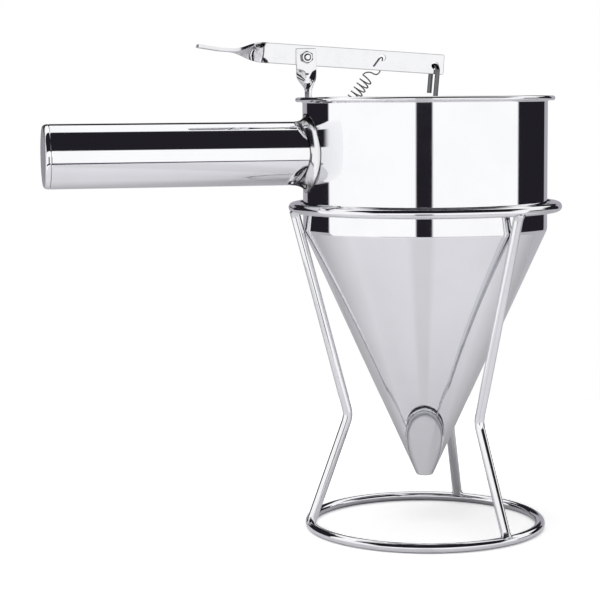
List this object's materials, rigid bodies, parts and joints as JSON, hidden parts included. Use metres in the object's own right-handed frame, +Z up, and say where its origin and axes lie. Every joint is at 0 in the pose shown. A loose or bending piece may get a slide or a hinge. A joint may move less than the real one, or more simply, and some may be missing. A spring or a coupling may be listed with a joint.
{
  "type": "batter dispenser funnel",
  "caption": "Steel batter funnel with a tube handle and a sprung thumb lever that lifts a ball valve on a rod, hung in a loose wire stand.",
  "frame": {"origin": "middle of the stand's base ring, on the table", "axes": "+Z up along the funnel's axis, +X away from the handle, +Y across, towards the lever's side of the bracket"},
  "size_m": [0.2645, 0.14, 0.251],
  "materials": {
    "funnel_steel": "mirror-polished stainless steel",
    "handle_steel": "mirror-polished stainless steel",
    "stand_wire": "polished stainless steel wire",
    "weld_steel": "ground and polished weld",
    "cap_steel": "satin stainless steel",
    "strip_steel": "bright cut and twisted strip",
    "bolt_steel": "bright stainless steel",
    "spring_steel": "drawn spring wire",
    "rod_steel": "bright drawn wire"
  },
  "bodies": {
    "stand": {"stand_top_ring": "stand_wire", "stand_base_ring": "stand_wire", "stand_leg_handle_side": "stand_wire", "stand_leg_front": "stand_wire", "stand_leg_back": "stand_wire"},
    "funnel": {"bowl": "funnel_steel", "cone": "funnel_steel", "handle_collar": "weld_steel", "handle_tube": "handle_steel", "handle_end_cap": "cap_steel", "pivot_bracket": "strip_steel", "pivot_bolt": "bolt_steel", "pivot_nut": "bolt_steel", "return_spring": "spring_steel"},
    "lever": {"lever": "strip_steel"},
    "rod": {"pull_rod": "rod_steel", "valve_ball": "rod_steel"}
  },
  "joints": [
    {"name": "funnel_lift", "type": "slide", "parent": "stand", "child": "funnel", "axis": [0, 0, 1], "range_m": [0, 0.15]},
    {"name": "lever_pivot", "type": "hinge", "parent": "funnel", "child": "lever", "pos_m": [-0.06178, 0.00225, 0.24337], "axis": [0, -1, 0], "range_deg": [0, 15], "stiffness_Nm_per_rad": 0.5, "springref_deg": -28.65, "deforming": ["return_spring"]},
    {"name": "rod_swing", "type": "hinge", "parent": "lever", "child": "rod", "pos_m": [0.00608, 0.00225, 0.239], "axis": [0, -1, 0], "range_deg": [-15, 0]}
  ],
  "couplings": [
    {"joint": "rod_swing", "follows": "lever_pivot", "ratio": -1}
  ]
}
